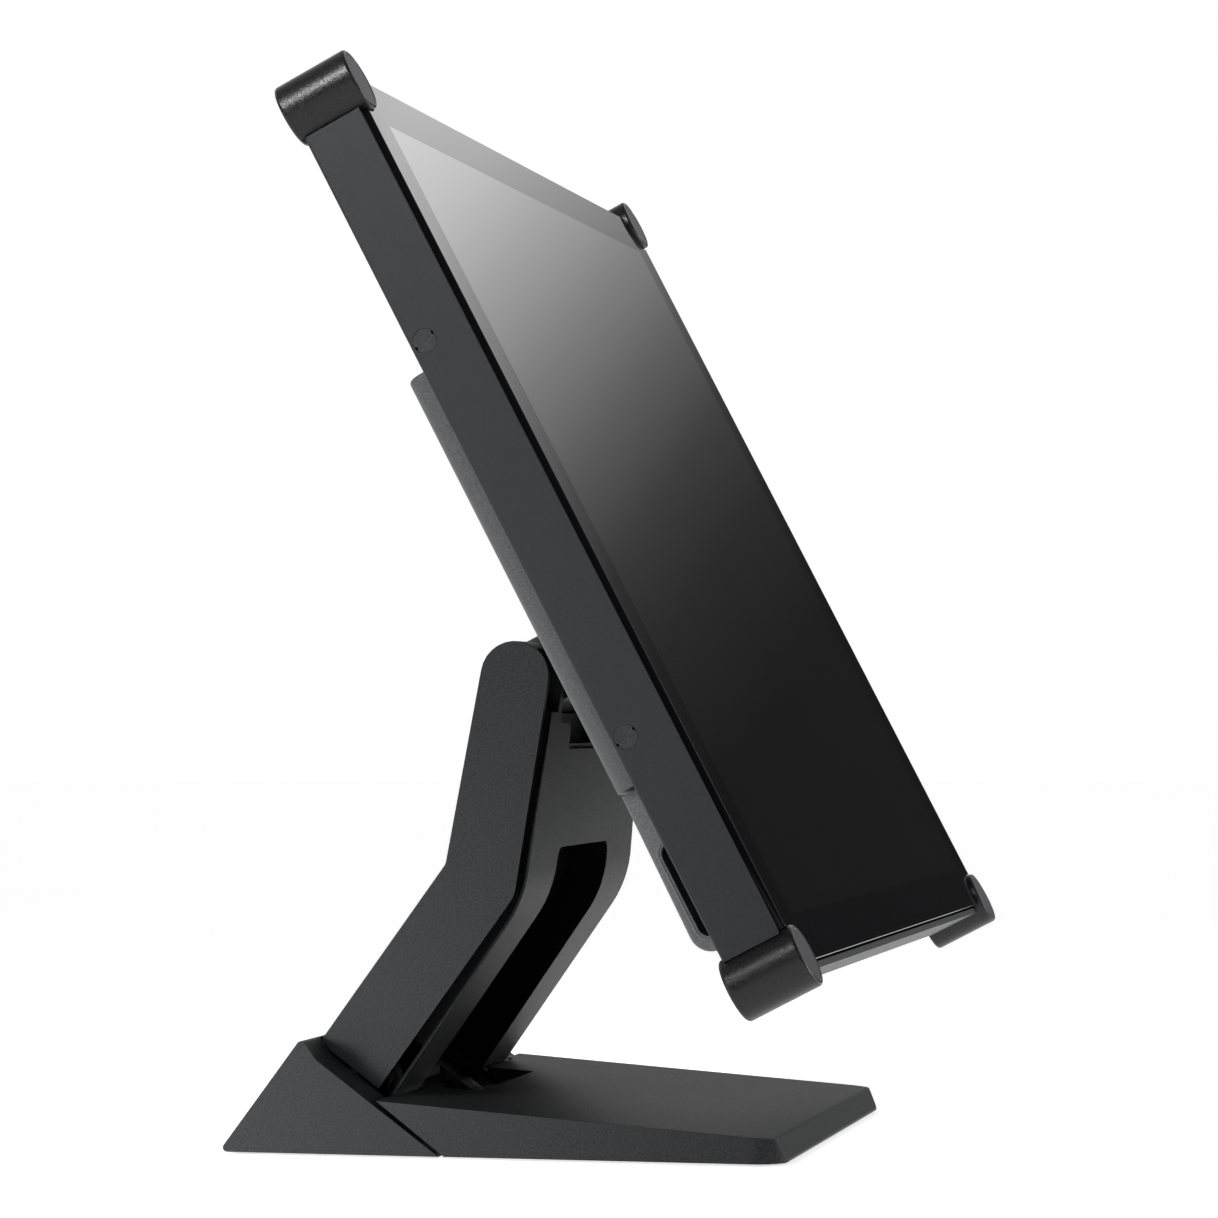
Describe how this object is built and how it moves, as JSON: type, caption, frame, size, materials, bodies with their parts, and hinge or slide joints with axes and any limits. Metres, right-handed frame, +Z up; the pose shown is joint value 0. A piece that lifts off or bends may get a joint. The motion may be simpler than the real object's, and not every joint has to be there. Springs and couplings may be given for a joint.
{
  "type": "touch-screen point-of-sale display",
  "caption": "Touch-screen point-of-sale display with cylindrical corner caps on a bent-arm stand with two friction hinges and a wedge base.",
  "frame": {"origin": "on the counter under the middle of the object's outer box, with the display tilted 27.5 degrees from upright and the arm against its rear stop", "axes": "+Z up, the screen faces -Y, +X to the right when seen from the front; both hinge axes run along X"},
  "size_m": [0.347, 0.1828, 0.292],
  "materials": {
    "screen_glass": "gloss",
    "lcd_glass": "satin",
    "housing_metal": "satin",
    "backlight": "satin",
    "circuit_board": "satin",
    "socket_plastic": "matte",
    "steel": "satin",
    "rear_plastic": "satin",
    "stand_plastic": "matte",
    "cap_plastic": "satin",
    "plug_plastic": "matte",
    "key_plastic": "satin",
    "rubber": "matte"
  },
  "bodies": {
    "base": {"base_front_cover": "stand_plastic", "base_lug_left": "steel", "base_lug_right": "steel", "base_plate": "steel", "base_rear_cover": "stand_plastic", "fold_nut_left": "steel", "fold_nut_right": "steel", "fold_pin_left": "steel", "fold_pin_right": "steel", "foot_front_left": "rubber", "foot_front_right": "rubber", "foot_rear_left": "rubber", "foot_rear_right": "rubber"},
    "arm": {"arm_frame": "steel", "arm_front_cover": "stand_plastic", "arm_rear_shell": "stand_plastic"},
    "display": {"backlight_driver_board": "circuit_board", "backlight_tray": "backlight", "bracket_screw_lower_left": "steel", "bracket_screw_lower_right": "steel", "bracket_screw_upper_left": "steel", "bracket_screw_upper_right": "steel", "button_board": "circuit_board", "cable_cover": "rear_plastic", "corner_cap_bottom_left": "cap_plastic", "corner_cap_bottom_right": "cap_plastic", "corner_cap_top_left": "cap_plastic", "corner_cap_top_right": "cap_plastic", "cover_glass": "screen_glass", "cover_stiffener": "steel", "glass_seal": "rubber", "hinge_bracket": "steel", "housing": "housing_metal", "lcd_cell": "lcd_glass", "main_board": "circuit_board", "monitor_socket": "steel", "neck_cover": "stand_plastic", "power_inlet": "socket_plastic", "rear_cover": "rear_plastic", "side_plug_left_lower": "plug_plastic", "side_plug_left_upper": "plug_plastic", "side_plug_right_lower": "plug_plastic", "side_plug_right_upper": "plug_plastic", "speaker_left": "socket_plastic", "speaker_right": "socket_plastic", "tilt_nut_left": "steel", "tilt_nut_right": "steel", "tilt_pin_left": "steel", "tilt_pin_right": "steel", "tilt_washer_left": "steel", "tilt_washer_right": "steel", "touch_controller_board": "circuit_board", "usb_socket": "steel", "video_socket": "steel"},
    "power_key": {"power_key": "key_plastic"},
    "menu_key_1": {"menu_key_1": "key_plastic"},
    "menu_key_2": {"menu_key_2": "key_plastic"},
    "menu_key_3": {"menu_key_3": "key_plastic"},
    "menu_key_4": {"menu_key_4": "key_plastic"}
  },
  "joints": [
    {"name": "arm_fold", "type": "hinge", "parent": "base", "child": "arm", "pos_m": [0, 0.05465, 0.0195], "axis": [1, 0, 0], "range_deg": [0, 18]},
    {"name": "display_tilt", "type": "hinge", "parent": "arm", "child": "display", "pos_m": [0, 0.01265, 0.1325], "axis": [-1, 0, 0], "range_deg": [-32, 62.5]},
    {"name": "power_key_press", "type": "slide", "parent": "display", "child": "power_key", "axis": [0, -0.887, 0.4617], "range_m": [0, 0.0008], "stiffness_N_per_m": 1500, "springref_m": -0.0003},
    {"name": "menu_key_1_press", "type": "slide", "parent": "display", "child": "menu_key_1", "axis": [0, -0.887, 0.4617], "range_m": [0, 0.0008], "stiffness_N_per_m": 1500, "springref_m": -0.0003},
    {"name": "menu_key_2_press", "type": "slide", "parent": "display", "child": "menu_key_2", "axis": [0, -0.887, 0.4617], "range_m": [0, 0.0008], "stiffness_N_per_m": 1500, "springref_m": -0.0003},
    {"name": "menu_key_3_press", "type": "slide", "parent": "display", "child": "menu_key_3", "axis": [0, -0.887, 0.4617], "range_m": [0, 0.0008], "stiffness_N_per_m": 1500, "springref_m": -0.0003},
    {"name": "menu_key_4_press", "type": "slide", "parent": "display", "child": "menu_key_4", "axis": [0, -0.887, 0.4617], "range_m": [0, 0.0008], "stiffness_N_per_m": 1500, "springref_m": -0.0003}
  ]
}
